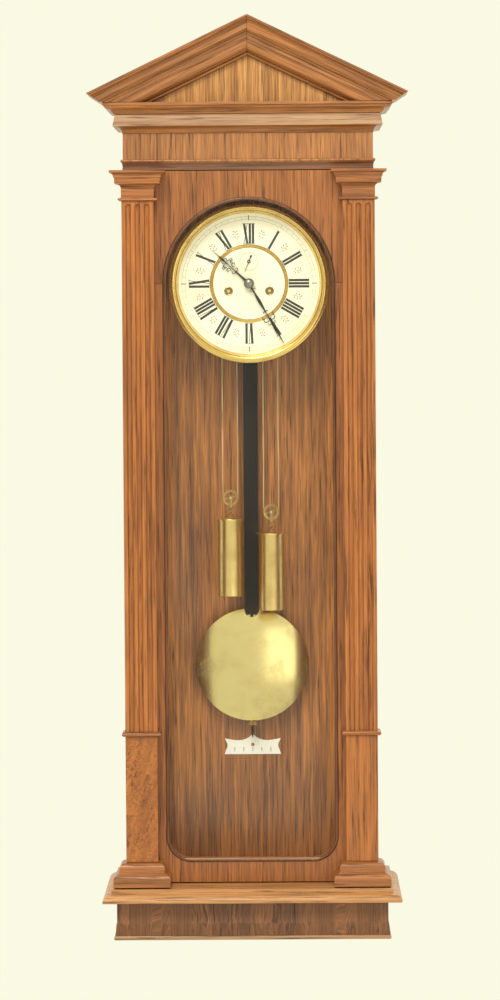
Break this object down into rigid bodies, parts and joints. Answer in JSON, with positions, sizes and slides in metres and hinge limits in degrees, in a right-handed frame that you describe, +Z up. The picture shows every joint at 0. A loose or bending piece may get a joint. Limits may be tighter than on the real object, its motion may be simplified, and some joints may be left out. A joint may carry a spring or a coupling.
{
  "type": "pendulum wall clock",
  "caption": "Weight-driven pendulum wall clock in an oak case with fluted pilasters, arched glazed door and pediment; door, hands, weights and pendulum move.",
  "frame": {"origin": "on the back face of the steel hanger plate, just above its slot, at the wall", "axes": "+X to the right of someone facing the clock, +Y into the wall, +Z up"},
  "size_m": [0.4004, 0.192, 1.1544],
  "materials": {
    "oak": "stained and polished",
    "dark_oak": "stained and polished",
    "pale_oak": "worn polish",
    "ebonised_wood": "satin black",
    "brass": "polished and lacquered",
    "steel": "satin",
    "dark_steel": "blued",
    "enamel": "fired gloss",
    "glass": "clear",
    "gut": "twisted natural gut"
  },
  "bodies": {
    "case": {"back_board": "oak", "side_left": "oak", "side_right": "oak", "side_glass_left": "glass", "side_glass_right": "glass", "frieze": "oak", "top_board": "pale_oak", "cornice": "oak", "tympanum": "oak", "raking_cornice_left": "oak", "raking_cornice_right": "oak", "base_shelf": "pale_oak", "apron": "dark_oak", "hanger_plate": "steel", "movement_bracket": "steel", "back_plate": "brass", "front_plate": "brass", "gong": "steel", "dial_pan": "brass", "dial_chapter_ring": "enamel", "dial_centre": "enamel", "bezel": "brass", "beat_plate": "enamel", "line_left": "gut", "line_right": "gut"},
    "door": {"door_stile_left": "oak", "door_stile_right": "oak", "door_head": "oak", "door_rail": "oak", "door_glass": "glass", "pilaster_left": "oak", "pilaster_right": "oak", "capital_left": "oak", "capital_right": "oak", "pilaster_base_left": "oak", "pilaster_base_right": "oak", "door_pivot_upper": "steel", "door_pivot_lower": "steel", "door_catch": "brass"},
    "going_drum_body": {"going_drum": "brass"},
    "great_wheel_body": {"going_great_wheel": "brass"},
    "strike_drum_body": {"strike_drum": "brass"},
    "hammer_body": {"hammer": "steel"},
    "centre_body": {"centre_wheel": "brass", "minute_hand": "dark_steel"},
    "third_body": {"third_wheel": "brass"},
    "escape_body": {"escape_wheel": "brass", "seconds_hand": "dark_steel"},
    "anchor_body": {"pallet_anchor": "steel"},
    "minute_wheel_body": {"minute_wheel": "brass"},
    "hour_body": {"hour_wheel": "brass", "hour_hand": "dark_steel"},
    "pendulum": {"suspension_spring": "steel", "pendulum_rod": "ebonised_wood"},
    "bob": {"pendulum_bob": "brass"},
    "nut": {"rating_nut": "brass"},
    "left_weight": {"weight_left": "brass"},
    "right_weight": {"weight_right": "brass"},
    "left_pulley": {"pulley_left": "brass"},
    "right_pulley": {"pulley_right": "brass"}
  },
  "joints": [
    {"name": "door_hinge", "type": "hinge", "parent": "case", "child": "door", "pos_m": [0.153, -0.126, -0.485], "axis": [0, 0, 1], "range_deg": [0, 100]},
    {"name": "weight_right_slide", "type": "slide", "parent": "case", "child": "right_weight", "axis": [0, 0, -1], "range_m": [-0.19, 0.285], "deforming": ["line_right"]},
    {"name": "weight_left_slide", "type": "slide", "parent": "case", "child": "left_weight", "axis": [0, 0, -1], "range_m": [-0.18, 0.29], "deforming": ["line_left"]},
    {"name": "going_drum_turn", "type": "hinge", "parent": "case", "child": "going_drum_body", "pos_m": [0.026, -0.07, -0.174], "axis": [0, 1, 0], "range_deg": [-3439.7, 2293.8]},
    {"name": "right_pulley_turn", "type": "hinge", "parent": "right_weight", "child": "right_pulley", "pos_m": [0.026, -0.068, -0.4564], "axis": [0, 1, 0], "range_deg": [-1720.9, 1147.9]},
    {"name": "strike_drum_turn", "type": "hinge", "parent": "case", "child": "strike_drum_body", "pos_m": [-0.026, -0.07, -0.174], "axis": [0, 1, 0], "range_deg": [-3500.1, 2173.2]},
    {"name": "left_pulley_turn", "type": "hinge", "parent": "left_weight", "child": "left_pulley", "pos_m": [-0.026, -0.068, -0.4381], "axis": [0, 1, 0], "range_deg": [-1751, 1087.6]},
    {"name": "minute_hand_turn", "type": "hinge", "parent": "case", "child": "centre_body", "pos_m": [0, -0.105, -0.1645], "axis": [0, 1, 0], "continuous": true},
    {"name": "hour_hand_turn", "type": "hinge", "parent": "case", "child": "hour_body", "pos_m": [0, -0.1, -0.1645], "axis": [0, 1, 0], "continuous": true},
    {"name": "minute_wheel_turn", "type": "hinge", "parent": "case", "child": "minute_wheel_body", "pos_m": [0, -0.092, -0.1805], "axis": [0, 1, 0], "continuous": true},
    {"name": "great_wheel_turn", "type": "hinge", "parent": "case", "child": "great_wheel_body", "pos_m": [0.026, -0.082, -0.174], "axis": [0, 1, 0], "continuous": true},
    {"name": "third_wheel_turn", "type": "hinge", "parent": "case", "child": "third_body", "pos_m": [0.01188, -0.067, -0.14866], "axis": [0, 1, 0], "continuous": true},
    {"name": "seconds_hand_turn", "type": "hinge", "parent": "case", "child": "escape_body", "pos_m": [0, -0.075, -0.1365], "axis": [0, 1, 0], "continuous": true},
    {"name": "pendulum_swing", "type": "hinge", "parent": "case", "child": "pendulum", "pos_m": [0, -0.032, -0.1125], "axis": [0, 1, 0], "range_deg": [-3, 3]},
    {"name": "anchor_turn", "type": "hinge", "parent": "case", "child": "anchor_body", "pos_m": [0, -0.07, -0.1125], "axis": [0, 1, 0], "range_deg": [-3.05, 3.05]},
    {"name": "bob_slide", "type": "slide", "parent": "pendulum", "child": "bob", "axis": [0, 0, 1], "range_m": [0, 0.0025]},
    {"name": "rating_nut_turn", "type": "hinge", "parent": "pendulum", "child": "nut", "pos_m": [0, -0.032, -0.7314], "axis": [0, 0, 1], "continuous": true},
    {"name": "hammer_lift", "type": "hinge", "parent": "case", "child": "hammer_body", "pos_m": [-0.044, -0.05, -0.1345], "axis": [0, 1, 0], "range_deg": [0, 12], "stiffness_Nm_per_rad": 0.02, "springref_deg": -2.86}
  ],
  "couplings": [
    {"joint": "going_drum_turn", "follows": "weight_right_slide", "rad_per_m": -210.53},
    {"joint": "right_pulley_turn", "follows": "weight_right_slide", "rad_per_m": -105.26},
    {"joint": "strike_drum_turn", "follows": "weight_left_slide", "rad_per_m": -210.53},
    {"joint": "left_pulley_turn", "follows": "weight_left_slide", "rad_per_m": -105.26},
    {"joint": "hour_hand_turn", "follows": "minute_hand_turn", "ratio": 0.083333},
    {"joint": "minute_wheel_turn", "follows": "minute_hand_turn", "ratio": -0.33333},
    {"joint": "great_wheel_turn", "follows": "minute_hand_turn", "ratio": -0.083333},
    {"joint": "third_wheel_turn", "follows": "minute_hand_turn", "ratio": -8},
    {"joint": "seconds_hand_turn", "follows": "minute_hand_turn", "ratio": 60},
    {"joint": "anchor_turn", "follows": "pendulum_swing", "ratio": 1}
  ]
}
